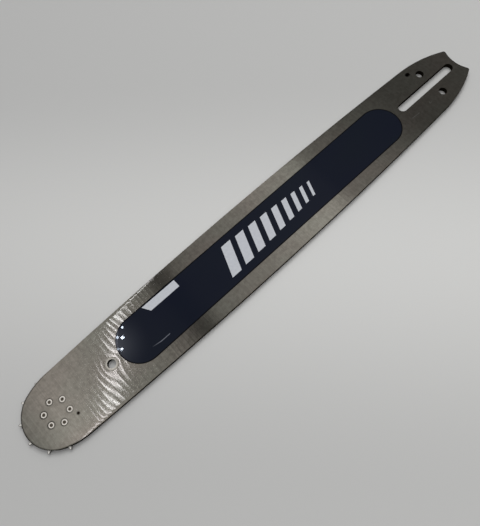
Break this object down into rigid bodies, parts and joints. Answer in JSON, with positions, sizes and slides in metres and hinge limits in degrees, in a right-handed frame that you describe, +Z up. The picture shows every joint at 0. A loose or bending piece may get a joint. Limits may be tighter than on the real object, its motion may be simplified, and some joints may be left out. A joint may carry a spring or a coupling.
{
  "type": "chainsaw guide bar",
  "caption": "Flat steel chainsaw guide bar with a grooved edge, a stud slot and adjuster holes at the tail, a hang hole and a toothed sprocket on rollers in its nose.",
  "frame": {"origin": "middle of the stud slot on the lower face of the bar", "axes": "+X along the bar to the nose, +Y across the bar, +Z up out of the face that carries the label"},
  "size_m": [0.5527, 0.0726, 0.0048],
  "materials": {
    "ground_steel": "cross-ground bare steel, satin",
    "sprocket_steel": "hardened and tumbled steel",
    "bearing_steel": "polished bearing steel",
    "rivet_steel": "pressed steel rivet heads",
    "label_film": "glossy dark navy film"
  },
  "bodies": {
    "bar": {"bar_body": "ground_steel", "bearing_race": "bearing_steel", "nose_rivets": "rivet_steel", "label_panel": "label_film"},
    "sprocket": {"nose_sprocket": "sprocket_steel"},
    "roller_ring": {"roller_01": "bearing_steel", "roller_02": "bearing_steel", "roller_03": "bearing_steel", "roller_04": "bearing_steel", "roller_05": "bearing_steel", "roller_06": "bearing_steel", "roller_07": "bearing_steel", "roller_08": "bearing_steel", "roller_09": "bearing_steel", "roller_10": "bearing_steel", "roller_11": "bearing_steel", "roller_12": "bearing_steel", "roller_13": "bearing_steel", "roller_14": "bearing_steel", "roller_15": "bearing_steel", "roller_16": "bearing_steel", "roller_17": "bearing_steel", "roller_18": "bearing_steel", "roller_19": "bearing_steel", "roller_20": "bearing_steel", "roller_21": "bearing_steel", "roller_22": "bearing_steel", "roller_23": "bearing_steel", "roller_24": "bearing_steel", "roller_25": "bearing_steel", "roller_26": "bearing_steel", "roller_27": "bearing_steel"}
  },
  "joints": [
    {"name": "sprocket_spin", "type": "hinge", "parent": "bar", "child": "sprocket", "pos_m": [0.47, 0, 0.00235], "axis": [0, 0, 1], "continuous": true},
    {"name": "roller_orbit", "type": "hinge", "parent": "bar", "child": "roller_ring", "pos_m": [0.47, 0, 0.00235], "axis": [0, 0, 1], "continuous": true}
  ],
  "couplings": [
    {"joint": "roller_orbit", "follows": "sprocket_spin", "ratio": 0.5566}
  ]
}
